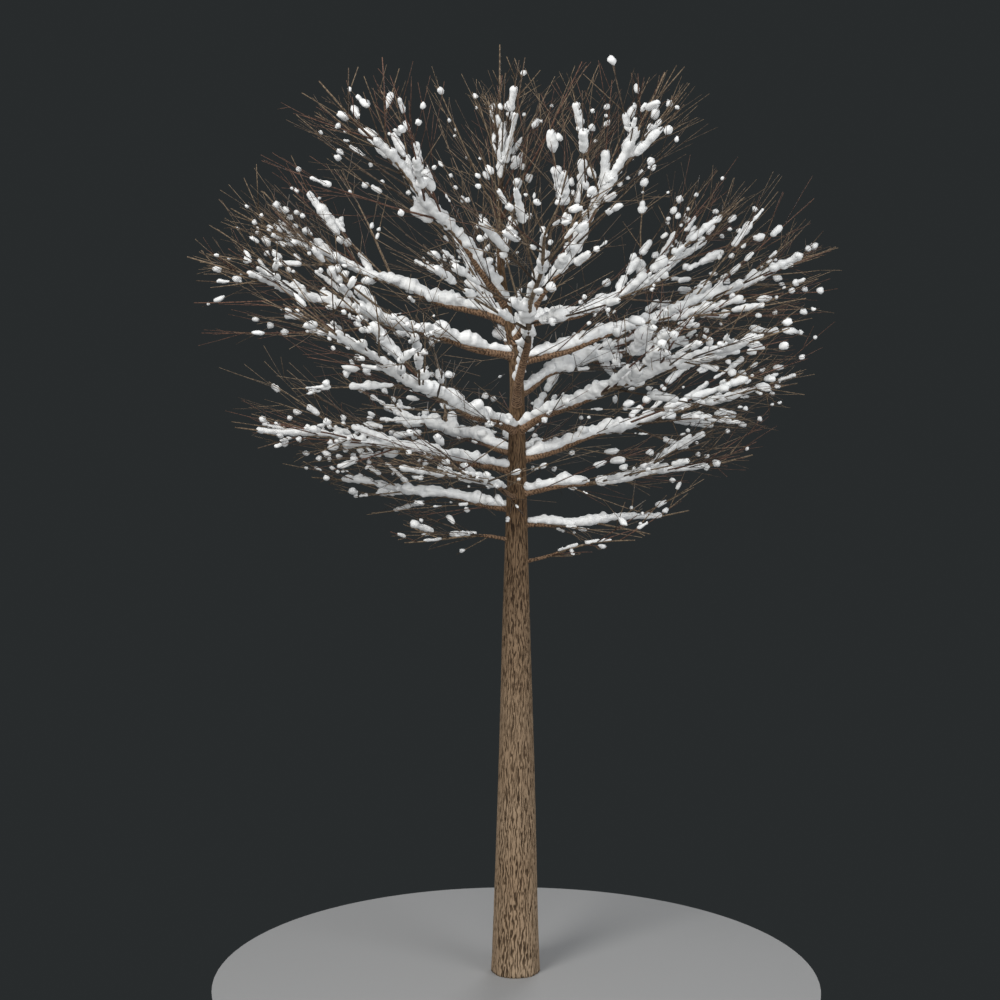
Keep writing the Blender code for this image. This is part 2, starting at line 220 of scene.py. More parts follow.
def bark_finish(name, dark, middle, pale, young, grain, mottle):
    """Rough bark: dark with painted shade in the furrows, pale on the ridges, of another tone
    higher up.
    """
    material, nodes, links, shader = new_finish(name, specular=0.25)
    place = nodes.new("ShaderNodeTexCoord").outputs["Object"]
    ridge = nodes.new("ShaderNodeAttribute")
    ridge.attribute_name = "ridge"
    drawn = nodes.new("ShaderNodeMapping")
    drawn.inputs["Scale"].default_value = grain
    links.new(place, drawn.inputs["Vector"])
    flakes = speckle(nodes, links, drawn.outputs["Vector"], scale=1.0, detail=5.0)
    flakes.inputs["Roughness"].default_value = 0.62
    flaky = nodes.new("ShaderNodeMath")
    flaky.operation = "MULTIPLY"
    flaky.inputs[1].default_value = FROM_FLAKES
    links.new(flakes.outputs["Fac"], flaky.inputs[0])
    # The relief sets the tone, so the furrows get painted shade and the ridges the bark's paler
    # tone.
    mixed = nodes.new("ShaderNodeMath")
    mixed.operation = "MULTIPLY_ADD"
    mixed.inputs[1].default_value = FROM_RIDGE
    links.new(ridge.outputs["Fac"], mixed.inputs[0])
    links.new(flaky.outputs["Value"], mixed.inputs[2])
    stops = zip(BARK_STOPS, (dark, middle, pale))
    colour = tones(nodes, links, mixed.outputs["Value"], *stops)

    broad = speckle(nodes, links, place, scale=mottle, detail=2.0)
    patches = tones(nodes, links, broad.outputs["Fac"], (0.35, PATCH_SHADE), (0.65, (1, 1, 1)))
    patchy = shaded(nodes, links, colour, patches)
    part = nodes.new("ShaderNodeSeparateXYZ")
    links.new(place, part.inputs["Vector"])
    height = nodes.new("ShaderNodeMapRange")
    height.inputs["From Min"].default_value = YOUNG_FROM
    height.inputs["From Max"].default_value = YOUNG_TO
    links.new(part.outputs["Z"], height.inputs["Value"])
    aged = shaded(nodes, links, patchy.outputs["Result"], young)
    links.new(height.outputs["Result"], aged.inputs["Factor"])
    links.new(aged.outputs["Result"], shader.inputs["Base Color"])
    rough_skin(nodes, links, shader, flakes.outputs["Fac"], BARK_ROUGH, strength=0.55, depth=0.004)
    return material


def build_trunk():
    """The whole stem as one closed skin, with its ridges and furrows in its shape."""
    verts, heights = [], []
    rows = int(TRUNK_TOP / TRUNK_ROW) + 1
    for i in range(rows):
        z = min(i * TRUNK_ROW, TRUNK_TOP)
        middle, radius = trunk_axis(z), trunk_radius(z)
        deep = FURROW_DEEP * (FURROW_LEAST + (1 - FURROW_LEAST) * radius / TRUNK_BASE_R)
        for j in range(TRUNK_COLUMNS):
            a = math.tau * j / TRUNK_COLUMNS
            out = Vector((math.cos(a), math.sin(a), 0))
            swell = 1 + THREE_SIDED * math.sin(3 * a + z) + FIVE_SIDED * math.sin(5 * a - 2 * z)
            high = stem_ridge(out, a, z)
            verts.append(middle + out * (radius * swell + deep * (high - STEM_SKIN)))
            heights.append(high)
    trunk = mesh_piece("trunk_bark", verts, tube_faces(rows, TRUNK_COLUMNS), heights)
    # The furrow colour here is painted shade in the low places of the relief, over the bark's own
    # darker furrows.
    colours = (FURROW_SHADE_COLOUR, BARK_COLOUR, RIDGE_COLOUR, YOUNG_BARK)
    bark = bark_finish("furrowed bark", *colours, STEM_GRAIN, STEM_MOTTLE)
    trunk.data.materials.append(bark)
    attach(trunk, "root")
    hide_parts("trunk")


build_trunk()


# ---------------------------------------------------------------- the boughs
# The thick inner ends of the limbs, grown out of the trunk with a collar at the
# root. Their young bark is redder than the trunk's and ribbed across the wood.
# Painted shade lies in the cracks between the ribs, and the whole bark is darkened
# by about a fifth as painted shade for the shaded undersides of the boughs.
BOUGH_SHARE = 0.31      # part of a limb's length that is bough, the rest is twiggy
BOUGH_SIDES = 20
BOUGH_ROW = 0.0085      # steps along a bough
ROOT_DEEP = 0.03        # how far a bough reaches into the trunk's bark
COLLAR = 0.35           # how much wider a bough is where it leaves the trunk
COLLAR_LONG = 0.06      # length over which that dies away
RIB_WIDE = 0.034        # from one cross rib to the next
RIB_DEEP = 0.0062
RIB_SKIN = 0.6          # height in the bark, from 0 to 1, that lies on the bough's radius
RIB_STRAYS = ((2.2, 0.9, 0.07, 0.0), (1.6, 2.4, 0.03, 4.0))
RIB_JOINS = (1.1, 2.0, 0.05, 6.0)
BOUGH_GRAIN = (55, 55, 55)
BOUGH_MOTTLE = 4.0
# These colours hold painted shade: the cracks between the ribs are near black, and all are darkened
# by about a fifth for the boughs' shaded undersides.
BOUGH_CRACK_SHADE = (0.014, 0.008, 0.005)
BOUGH_COLOUR = (0.086, 0.052, 0.032)
BOUGH_RIB = (0.262, 0.174, 0.112)
EVEN_TONE = (0.90, 0.86, 0.82)
TIP_R = 0.006           # radius of a limb's tip
LIMB_TAPER = 1.25       # over 1 a limb thins fastest by the trunk
LIMB_STEP = 0.05        # steps in which a limb is followed
SWAY = 7.0              # degrees a limb wanders to either side
SWAY_TURN = 4.6         # radians of that wave to a metre
SAG = 6.0               # degrees it wanders up and down
SAG_TURN = 6.3
SWAY_START, SAG_START = 7, 11   # radians that each metre of a limb's height shifts them by

# A limb leaves the trunk at a height, on a bearing counted from +X towards +Y,
# and rises at one angle by the trunk and another at its tip.
Limb = namedtuple("Limb", "name height bearing rise lift length girth snowy")
LIMBS = [
    Limb("low_right", 4.37, 346, 20, 3, 1.52, 0.018, False),
    Limb("low_left", 4.61, 192, 8, -13, 1.38, 0.019, False),
    Limb("skirt_right", 4.78, 12, 2, 8, 2.17, 0.028, True),
    Limb("skirt_left", 4.95, 164, 11, 7, 2.44, 0.031, True),
    Limb("skirt_front", 5.08, 256, 6, 6, 2.60, 0.029, False),
    Limb("shelf_right", 5.12, 350, 6, 11, 2.55, 0.034, True),
    Limb("shelf_back", 5.24, 90, 19, 14, 3.45, 0.034, False),
    Limb("shelf_left", 5.34, 186, 15, 2, 3.30, 0.039, True),
    Limb("arm_right", 5.47, 10, 20, 12, 3.35, 0.040, True),
    Limb("arm_back_left", 5.56, 126, 13, 12, 3.60, 0.039, True),
    Limb("arm_front_left", 5.78, 236, 9, 22, 3.65, 0.042, True),
    Limb("arm_front_right", 5.78, 316, 18, 8, 3.65, 0.041, True),
    Limb("fork", 6.05, 275, 37, 11, 3.70, 0.050, False),
    Limb("wide_back_right", 6.18, 54, 22, 12, 3.65, 0.040, True),
    Limb("wide_right", 6.52, 2, 17, 24, 3.78, 0.046, True),
    Limb("wide_front_left", 6.60, 207, 11, 15, 3.65, 0.045, True),
    Limb("crown_front_right", 6.73, 308, 38, 52, 3.35, 0.045, True),
    Limb("crown_back", 6.66, 104, 28, 34, 3.75, 0.040, True),
    Limb("crown_right", 6.90, 28, 8, 49, 3.65, 0.042, True),
    Limb("crown_left", 6.96, 168, 17, 30, 3.80, 0.046, True),
    Limb("crown_front_left", 7.14, 226, 42, 30, 3.20, 0.041, True),
]


def heading(bearing, rise):
    """The way that a bearing and a rise give, both in degrees."""
    b = math.radians(bearing)
    r = math.radians(rise)
    return Vector((math.cos(b) * math.cos(r), math.sin(b) * math.cos(r), math.sin(r)))


def limb_way(limb, s):
    """The way a limb points at a distance along it from the trunk's axis."""
    bearing = limb.bearing + SWAY * math.sin(s * SWAY_TURN + limb.height * SWAY_START)
    rise = limb.rise + (limb.lift - limb.rise) * s / limb.length
    return heading(bearing, rise + SAG * math.sin(s * SAG_TURN + limb.height * SAG_START))


def limb_point(limb, s):
    """The point on a limb's middle line at a distance from the trunk's axis."""
    point = trunk_axis(limb.height)
    steps = int(s / LIMB_STEP)
    for i in range(steps):
        point = point + limb_way(limb, (i + 0.5) * LIMB_STEP) * LIMB_STEP
    return point + limb_way(limb, s) * (s - steps * LIMB_STEP)


def limb_radius(limb, s):
    """Radius of a limb at a distance from the trunk's axis."""
    return TIP_R + (limb.girth - TIP_R) * max(1 - s / limb.length, 0) ** LIMB_TAPER


def limb_root(limb):
    """The distance along a limb at which it comes out of the trunk's bark."""
    return trunk_radius(limb.height) / math.cos(math.radians(limb.rise))


def across_and_over(way):
    """A level direction across a way, and the one that stands over it."""
    flat = way.cross(Vector((0, 0, 1)))
    flat = flat.normalized() if flat.length > 0.05 else Vector((1, 0, 0))
    return flat, flat.cross(way).normalized()


def bough_rib(out, s):
    """1 on a rib across the wood and 0 in the crack beside it."""
    stray = ridges_stray(out, s, RIB_STRAYS)
    slope = abs(math.sin(math.pi * s / RIB_WIDE + stray)) / FURROW_WIDE
    return min(slope + ridges_join(out, s, RIB_JOINS), 1.0)


def build_boughs():
    """All the boughs as one piece, each a closed skin with its ribs in its shape."""
    verts, heights, faces = [], [], []
    for number, limb in enumerate(LIMBS):
        start, end = limb_root(limb) - ROOT_DEEP, BOUGH_SHARE * limb.length
        rows = int((end - start) / BOUGH_ROW)
        faces += tube_faces(rows + 1, BOUGH_SIDES, len(verts), clockwise=True)
        for i in range(rows + 1):
            s = start + (end - start) * i / rows
            middle, way = limb_point(limb, s), limb_way(limb, s)
            flat, over = across_and_over(way)
            radius = limb_radius(limb, s) * (1 + COLLAR * math.exp(-(s - start) / COLLAR_LONG))
            for j in range(BOUGH_SIDES):
                a = math.tau * j / BOUGH_SIDES
                out = flat * math.cos(a) + over * math.sin(a)
                high = bough_rib(out, s + number)
                verts.append(middle + out * (radius + RIB_DEEP * (high - RIB_SKIN)))
                heights.append(high)
    boughs = mesh_piece("bough_bark", verts, faces, heights)
    # The crack colour and the darkened tones are painted shade.
    colours = (BOUGH_CRACK_SHADE, BOUGH_COLOUR, BOUGH_RIB, EVEN_TONE)
    bark = bark_finish("ribbed bark", *colours, BOUGH_GRAIN, BOUGH_MOTTLE)
    boughs.data.materials.append(bark)
    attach(boughs, "root")
    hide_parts(*("bough_" + limb.name for limb in LIMBS))


build_boughs()


# ---------------------------------------------------------------- the twigs
# Each limb goes on beyond its bough as a stem with arms to both sides, and the
# arms bear straight, slender twigs that spread away from the crown's heart.
# The wood is bare and smooth, in tans and reddish browns that differ by spray.
SEED = 4207
GAP = 0.0003            # between a bough's tip and the stem that goes on from it
TREE_TOP = 9.96         # tip of the highest stem
TOP_REACH = 3.3         # the arms on the leader are those of a stem this long
CROWN_R = 3.56          # widest reach of the twigs
CROWN_MID = 7.30        # height of the widest part
CROWN_UP = 2.32         # from there to the top of the dome
CROWN_DOWN = 2.90       # and down to the lowest twigs
CROWN_DOME = 2.3        # how square the shoulders are: 2 is a round dome
CROWN_SKIRT = 1.9       # the same for the underside
CROWN_HEART = 6.00      # twigs spread away from this point on the axis
SPIRAL = 2.4            # radians from one arm to the next where they stand all round
ARM_SHARE = 0.60        # length of an arm at a stem's root, as a share of the stem

# The main arms, and the first twigs on them. Angles are in degrees off the stem,
# and what is drawn by chance is given as its least and its most.
ARM_STEP = 0.40
ARM_FROM, ARM_OVER = 0.04, 0.84     # share of the stem where they start, and that they take up
ARM_ANGLE = (36, 54)
ARM_VARY = (0.8, 1.1)   # share of its due length that an arm grows to
ARM_EXTRA = 0.35        # what even the arms at the tip have in length
ARM_STOUT = 0.42        # thickness of an arm, as a share of its stem's
MAIN_TWIG_ANGLE = (32, 46)
MAIN_TWIG_LONG = (0.44, 0.66)
MAIN_TWIG_R = 0.0075

# The lesser arms between them. On some limbs they are longer and stand all round,
# because the crown is full there.
FINE_ARM_STEP = 0.160
FINE_ARM_FROM, FINE_ARM_OVER = 0.02, 0.94
FINE_ARM_ANGLE = (22, 50)
FANNED_ANGLE = (15, 40)     # the same where they stand all round
FANNED_MORE = 1.35
FINE_ARM_EXTRA = 0.45
FINE_ARM_VARY = (0.55, 1.2)
FINE_ARM_STOUT = 0.30
THIN_ARM_R = 0.0050         # least radius of an arm at its root
FINE_ARM_TIP = 0.0032
ARM_ROOM = (0.76, 1.0, 0.95)    # share of the crown where an arm stops: least, most, mostly
# How much longer they are on those limbs.
ROOMY = {"shelf_left": 1.5, "wide_front_left": 1.2, "arm_right": 1.35, "wide_right": 1.2}

# The fine twigs on all the arms, and the twiglets on them.
TWIG_STEP = 0.200
DENSE_ABOVE = 8.2       # arms that end above this height have their twigs closer
DENSE = 0.8
TWIG_FROM, TWIG_OVER = 0.10, 0.86
FULL_GAIN, FULL_LOSS = 1.4, 0.22    # chance of a twig: this times the crown's share, less this
TWIG_ANGLE = (17, 40)
TWIG_SHARE = 0.34       # length of a twig at an arm's root, as a share of the arm
TWIG_EXTRA = 0.46
TWIG_VARY = (0.65, 1.40)
TWIG_R, TWIG_TIP = 0.0037, 0.0026
TWIG_ROOM = (0.74, 1.0, 0.96)
TWIGLETS = (0, 0, 1, 1, 2)      # how many on a twig, by chance
TWIGLET_ANGLE = (18, 34)
TWIGLET_LONG = (0.20, 0.46)
TWIGLET_R, TWIGLET_TIP = 0.0031, 0.0024

# The slender arms nearer the trunk: how many, and the longest.
INNER_ON_LIMB = (5, 1.5)
INNER_ON_LEADER = (20, 2.7)
LEADER_FROM = 6.6       # the leader bears them from this height
LEADER_PART = 0.4       # in three parts, each this tall
INNER_ANGLE = (20, 50)
INNER_VARY = (0.4, 1.0)
INNER_ARM_R = 0.0060

SIDES = (8, 5, 3, 3)    # of a stem, an arm, a twig and a twiglet
# Pale and dark wood of each kind of spray.
TWIG_TINTS = {
    "tan": ((0.190, 0.138, 0.088), (0.072, 0.050, 0.032)),
    "russet": ((0.130, 0.067, 0.044), (0.046, 0.024, 0.017)),
    "umber": ((0.096, 0.067, 0.044), (0.034, 0.023, 0.016)),
}
TINT_PICKS = (0, 0, 1, 2, 2)    # sprays are tan and umber more often than russet
TWIG_ROUGH = (0.55, 0.85)
# Limbs and twigs are joined by the part of the crown that they are in.
TIERS = {
    "low": ["low_right", "low_left", "skirt_right", "skirt_left", "skirt_front", "shelf_right",
            "shelf_back", "shelf_left"],
    "middle": ["arm_right", "arm_back_left", "arm_front_left", "arm_front_right",
               "wide_back_right", "wide_right", "wide_front_left"],
    "high": ["fork", "crown_front_right", "crown_back", "crown_right", "crown_left",
             "crown_front_left", "top"],
}


def crown_share(point):
    """How far out a point is: 0 at the middle of the crown and 1 at its edge."""
    up = point.z >= CROWN_MID
    tall, power = (CROWN_UP, CROWN_DOME) if up else (CROWN_DOWN, CROWN_SKIRT)
    out = math.hypot(point.x, point.y) / CROWN_R
    return (out ** power + (abs(point.z - CROWN_MID) / tall) ** power) ** (1 / power)


def side_way(along, roll, angle):
    """A way that parts from another by an angle, on the side the roll gives."""
    flat = along.cross(Vector((0, 0, 1)))
    flat = flat.normalized() if flat.length > 0.2 else Vector((1, 0, 0))
    over = flat.cross(along).normalized()
    side = flat * math.cos(roll) + over * math.sin(roll)
    return (along * math.cos(angle) + side * math.sin(angle)).normalized()


def shoot(point, way, length, steps, bend, room=1.0):
    """A shoot's points: it bends out from the crown's heart and stops at its edge."""
    points = [point]
    for _ in range(steps):
        out = points[-1] - Vector((0, 0, CROWN_HEART))
        out.z = max(out.z, 0.3 * out.z)
        way = (way * (1 - bend) + out.normalized() * bend).normalized()
        step = way * (length / steps)
        while crown_share(points[-1] + step) > room and step.length > 0.05:
            step = step * 0.85
        if crown_share(points[-1] + step) > room:
            break
        points.append(points[-1] + step)
    return points


def between(points, f):
    """The point a share of the way along a line, and the way the line goes there."""
    f = f * (len(points) - 1)
    k = min(int(f), len(points) - 2)
    way = (points[k + 1] - points[k]).normalized()
    return points[k].lerp(points[k + 1], f - k), way


class Shoot:
    """A stem, an arm off a stem, a twig off an arm or a twiglet: level 0, 1, 2 or 3."""

    def __init__(self, points, thick, thin, parent=None):
        self.points, self.thick, self.thin = points, thick, thin
        self.level = parent.level + 1 if parent else 0
        self.tint = 0

    def length(self):
        return sum((b - a).length for a, b in zip(self.points, self.points[1:]))


def main_shoots(stem, reach, steep, rng):
    """The main arms on both sides of a stem, and the first twigs on each arm."""
    found = []
    count = max(4, round(reach / ARM_STEP))
    for i in range(count):
        t = ARM_FROM + ARM_OVER * (i + rng.uniform(0.2, 0.8)) / count
        root, way = between(stem.points, t)
        turn = SPIRAL * i if steep else math.pi * i
        turn += rng.uniform(-0.5, 1.2) if i % 2 == 0 else rng.uniform(-1.2, 0.5)
        way = side_way(way, turn, math.radians(rng.uniform(*ARM_ANGLE)))
        length = (ARM_SHARE * reach * (1 - t) + ARM_EXTRA) * rng.uniform(*ARM_VARY)
        points = shoot(root, way, length, steps=2 if length > 0.9 else 1, bend=0.16)
        if len(points) < 2:
            continue
        arm = Shoot(points, ARM_STOUT * stem.thick * (1 - t) + THIN_ARM_R, TIP_R * 0.8, stem)
        found.append(arm)
        for j in range(2 if length > 1.0 else 1):
            knot, way = between(points, 0.38 + 0.34 * j + rng.uniform(-0.08, 0.08))
            angle = math.radians(rng.uniform(*MAIN_TWIG_ANGLE))
            way = side_way(way, math.pi * (i + j) + rng.uniform(-1, 1), angle)
            twig = shoot(knot, way, rng.uniform(*MAIN_TWIG_LONG), steps=1, bend=0.2)
            if len(twig) == 2:
                found.append(Shoot(twig, MAIN_TWIG_R, TIP_R * 0.7, arm))
    return found


def lesser_arms(stem, reach, fanned, longer, rng):
    """Thinner arms between the main ones, from near the trunk to the stem's tip."""
    found = []
    count = round(reach / FINE_ARM_STEP * (FANNED_MORE if fanned else 1.0))
    for i in range(count):
        t = FINE_ARM_FROM + FINE_ARM_OVER * (i + rng.random()) / count
        root, way = between(stem.points, t)
        turn = SPIRAL * i if fanned else math.pi * i + rng.uniform(-0.5, 0.9)
        turn += rng.uniform(-0.7, 0.7)
        angle = math.radians(rng.uniform(*(FANNED_ANGLE if fanned else FINE_ARM_ANGLE)))
        way = side_way(way, turn, angle)
        length = ARM_SHARE * reach * (1 - t) + FINE_ARM_EXTRA
        length = length * rng.uniform(*FINE_ARM_VARY) * longer
        points = shoot(root, way, length, 3, bend=0.09, room=rng.triangular(*ARM_ROOM))
        if len(points) > 1:
            thick = FINE_ARM_STOUT * stem.thick * (1 - t) + THIN_ARM_R
            found.append(Shoot(points, thick, FINE_ARM_TIP, stem))
    return found


def inner_arms(line, count, longest, stem, rng):
    """Slender arms that start nearer the trunk than the stem, on a bough or on the leader."""
    found = []
    for i in range(count):
        root, way = between(line, rng.random())
        upright = stem.thick > 0.02 and way.z > 0.9
        turn = (SPIRAL if upright else math.pi) * i + rng.uniform(-0.8, 0.8)
        way = side_way(way, turn, math.radians(rng.uniform(*INNER_ANGLE)))
        points = shoot(root, way, rng.uniform(*INNER_VARY) * longest, steps=3, bend=0.09)
        if len(points) > 1:
            found.append(Shoot(points, INNER_ARM_R, FINE_ARM_TIP, stem))
    return found


def twigs_on(arm, rng):
    """Straight twigs to both sides of an arm, fewer near the crown's heart, and a
    twiglet or two on many of them."""
    found = []
    long = arm.length()
    step = TWIG_STEP * (DENSE if arm.points[-1].z > DENSE_ABOVE else 1.0)
    count = max(2, round(long / step))
    for j in range(count):
        f = TWIG_FROM + TWIG_OVER * (j + rng.random()) / count
        knot, way = between(arm.points, f)
        if rng.random() > FULL_GAIN * crown_share(knot) - FULL_LOSS:
            continue
        turn = math.pi * j + rng.uniform(-1.0, 1.0)
        way = side_way(way, turn, math.radians(rng.uniform(*TWIG_ANGLE)))
        length = (TWIG_SHARE * long * (1 - f) + TWIG_EXTRA) * rng.uniform(*TWIG_VARY)
        points = shoot(knot, way, length, 2, bend=0.05, room=rng.triangular(*TWIG_ROOM))
        if len(points) < 2:
            continue
        twig = Shoot(points, TWIG_R, TWIG_TIP, arm)
        found.append(twig)
        for k in range(rng.choice(TWIGLETS)):
            knot, way = between(points, rng.uniform(0.15, 0.75))
            turn = math.pi * (j + k) + rng.uniform(-1.2, 1.2)
            way = side_way(way, turn, math.radians(rng.uniform(*TWIGLET_ANGLE)))
            length = rng.uniform(*TWIGLET_LONG)
            small = shoot(knot, way, length, 1, bend=0.04, room=rng.triangular(*TWIG_ROOM))
            if len(small) == 2:
                found.append(Shoot(small, TWIGLET_R, TWIGLET_TIP, twig))
    return found


def grow(name, number):
    """Everything that grows on one limb beyond its bough, or on the leader."""
    if name == "top":
        start, end = TRUNK_TOP + GAP, TREE_TOP
        line = [trunk_axis(start + (end - start) * i / 4) for i in range(5)]
        stem = Shoot(line, trunk_radius(start), TIP_R)
        reach, steep = TOP_REACH, True
        inner = [trunk_axis(LEADER_FROM + LEADER_PART * i) for i in range(4)]
        few = INNER_ON_LEADER
    else:
        limb = LIMBS[number]
        start, end = BOUGH_SHARE * limb.length + GAP, limb.length
        while end > start + 0.1 and crown_share(limb_point(limb, end)) > 1:
            end -= 0.05
        line = [limb_point(limb, start + (end - start) * i / 4) for i in range(5)]
        stem = Shoot(line, limb_radius(limb, start), TIP_R)
        reach, steep = end - start, limb.rise > 45
        first = limb_root(limb) + 0.15
        inner = [limb_point(limb, first + (start - first) * i / 3) for i in range(4)]
        few = INNER_ON_LIMB
    shoots = main_shoots(stem, reach, steep, random.Random(SEED + number))
    rng = random.Random(SEED * 7 + number)
    fanned = steep or name in ROOMY or name.startswith("crown")
    shoots += lesser_arms(stem, reach, fanned, ROOMY.get(name, 1.0), rng)
    shoots += inner_arms(inner, *few, stem, rng)
    for arm in [one for one in shoots if one.level == 1]:
        arm.tint = rng.choice(TINT_PICKS)
        spray = twigs_on(arm, rng)
        for twig in spray:
            twig.tint = arm.tint
        shoots += spray
    return [stem] + shoots


def ring_round(middle, way, radius, sides):
    """A ring of points round a way, the first of them on top."""
    flat, over = across_and_over(way)
    ring = []
    for j in range(sides):
        a = math.pi / 2 + math.tau * j / sides
        ring.append(middle + flat * (radius * math.cos(a)) + over * (radius * math.sin(a)))
    return ring


def tube(verts, faces, rings):
    """Adds a closed tube over a row of rings."""
    faces += tube_faces(len(rings), len(rings[0]), len(verts), clockwise=True)
    for ring in rings:
        verts += ring


def wood_rings(made):
    """The rings of a shoot, which thins evenly to its tip."""
    last = len(made.points) - 1
    rings = []
    for i, point in enumerate(made.points):
        way = made.points[min(i + 1, last)] - made.points[max(i - 1, 0)]
        radius = made.thick + (made.thin - made.thick) * i / last
        rings.append(ring_round(point, way.normalized(), radius, SIDES[made.level]))
    return rings


def twig_finish(name, pale, dark):
    """Smooth young bark, dark and pale by turns along the twig."""
    material, nodes, links, shader = new_finish(name, specular=0.3)
    place = nodes.new("ShaderNodeTexCoord").outputs["Object"]
    flecks = speckle(nodes, links, place, scale=34.0, detail=3.0).outputs["Fac"]
    colour = tones(nodes, links, flecks, (0.40, dark), (0.58, pale))
    links.new(colour, shader.inputs["Base Color"])
    rough_skin(nodes, links, shader, flecks, TWIG_ROUGH, strength=0.3, depth=0.001)
    return material


numbers = {limb.name: i for i, limb in enumerate(LIMBS)}
numbers["top"] = len(LIMBS)
grown = {name: grow(name, number) for name, number in numbers.items()}
twig_barks = [twig_finish(name + " twigs", *tints) for name, tints in TWIG_TINTS.items()]
for tier, names in TIERS.items():
    verts, faces, tints = [], [], []
    for name in names:
        for made in grown[name]:
            before = len(faces)
            tube(verts, faces, wood_rings(made))
            tints += [made.tint] * (len(faces) - before)
    twigs = mesh_piece("twigs_" + tier, verts, faces)
    for bark in twig_barks:
        twigs.data.materials.append(bark)
    twigs.data.polygons.foreach_set("material_index", tints)
    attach(twigs, "root")
    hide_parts(*("twigs_" + name for name in names))


# ---------------------------------------------------------------- the snow on boughs and arms
# Wet snow that has settled in thick, rounded rolls along the tops of the boughs,
# stems and arms, lumpy where it has slumped, and run together where rolls meet.
ROLL_R = 0.078          # half width of a roll at its fullest, on a stout limb
ROLL_STEP = 0.025       # from one ring of a roll to the next
ROLL_SIDES = 10
ROLL_END = ((0.36, 0.92), (0.70, 0.70), (0.92, 0.38))   # its round end: how far out, how wide
ROLL_FLAT = 0.88        # height of a roll, as a share of its width
ROLL_LONG = (0.45, 1.3)
SWELL_LONG, BULGE_LONG = 0.22, 0.085    # length of a roll's slow swells and of its bulges
SWELL, BULGE = 0.40, 0.95               # and what they add to
EVEN = 0.80                             # this share of its size
DUSTED = 0.75           # size of the rolls on a limb that has little snow
PERCH = 0.88            # height of a roll over the wood by the trunk, as a share of its size
WRAP = 0.56             # and how much lower it sits further out, wrapped round the wood
LIMB_BARE = (0.03, 0.35)    # bare wood by the trunk, on a limb with snow and on the others
SNOW_TO = (0.74, 0.87)      # share of the crown where the rolls on the limbs stop
SNOW_END = 0.85             # and share of a limb's length
DRIFT = 0.016               # how far a roll strays to the sides
LUMP_STEP = 0.11            # a lump has slumped to the side for each such length
LUMP_SIZE = (0.42, 0.72)    # share of the roll's size
ARM_ROLL_R = 0.046
ARM_ROLL_FLAT = 0.92
ARM_ROLL_LONG = (0.04, 0.36, 0.09)      # shortest, longest, and what most are
ARM_ROLL_SIZE = (0.60, 1.12)
ARM_BARE = (0.08, 0.30)     # bare wood at an arm's root
ARM_GAP = (0.02, 0.26)      # and between its rolls
STOUT_ARM_R = 0.011         # an arm this thick has full rolls
STOUTEST = 1.35             # and a thicker one has up to this times as much
ARM_SNOW_TO = 0.78          # share of an arm's length where its last roll may start
ARM_SNOW_END = 0.88         # and where it ends at the latest
ARM_ROLL_THINS = 0.30       # share of its size that a roll by the tip is smaller by
SPARSE_FROM, SPARSE_WIDE = 0.66, 0.28   # share of the crown where its rolls grow rare
ARM_PLENTY = 0.47           # chance of a roll at a place on an arm
LEADER_PLENTY = 0.28        # the same on the arms of the leader
CLOD = 0.008                # height of the small clods on its skin
CLOD_WIDE = 0.040
GRAIN = 0.0161              # size of the smallest lump that is shaped
SNOW_COLOUR = (0.725, 0.73, 0.725)
SNOW_SHADE = (0.635, 0.645, 0.65)
SNOW_ROUGH = (0.50, 0.80)
rng = random.Random(SEED * 11)


def roll(verts, faces, middles, ways, radii, flatness):
    """A roll of snow over a row of middles, closed round at both ends."""
    rings = []
    last = len(middles) - 1
    for i, (middle, way, radius) in enumerate(zip(middles, ways, radii)):
        flat, over = across_and_over(way)
        spots = [(0, 1)]
        if i == last:
            spots += ROLL_END
        elif i == 0:
            spots = [(-along, size) for along, size in reversed(ROLL_END)] + spots
        for along, size in spots:
            ring = []
            for j in range(ROLL_SIDES):
                a = math.tau * j / ROLL_SIDES
                side = flat * (math.cos(a) * radius * size)
                high = over * (math.sin(a) * radius * size * flatness)
                ring.append(middle + way * (along * radius) + side + high)
            rings.append(ring)
    tube(verts, faces, rings)


def lumpy(s, phase):
    """Swelling of a roll along its length."""
    slow = noise.noise(Vector((s / SWELL_LONG, phase, 0.0)))
    quick = abs(noise.noise(Vector((s / BULGE_LONG, phase, 7.0))))
    return EVEN + SWELL * slow + BULGE * quick


def lump(verts, faces, middle, radius):
    """A short, round roll that lies any way."""
    way = Vector((rng.uniform(-1, 1), rng.uniform(-1, 1), rng.uniform(-0.3, 0.3))).normalized()
    middles = [middle - way * (radius * 0.3), middle + way * (radius * 0.3)]
    roll(verts, faces, middles, [way, way], [radius, radius * rng.uniform(0.8, 1)], 0.9)


def snow_share(point):
    """How far out or up in the crown a point is. The underside counts as the middle."""
    return crown_share(Vector((point.x, point.y, max(point.z, CROWN_MID))))


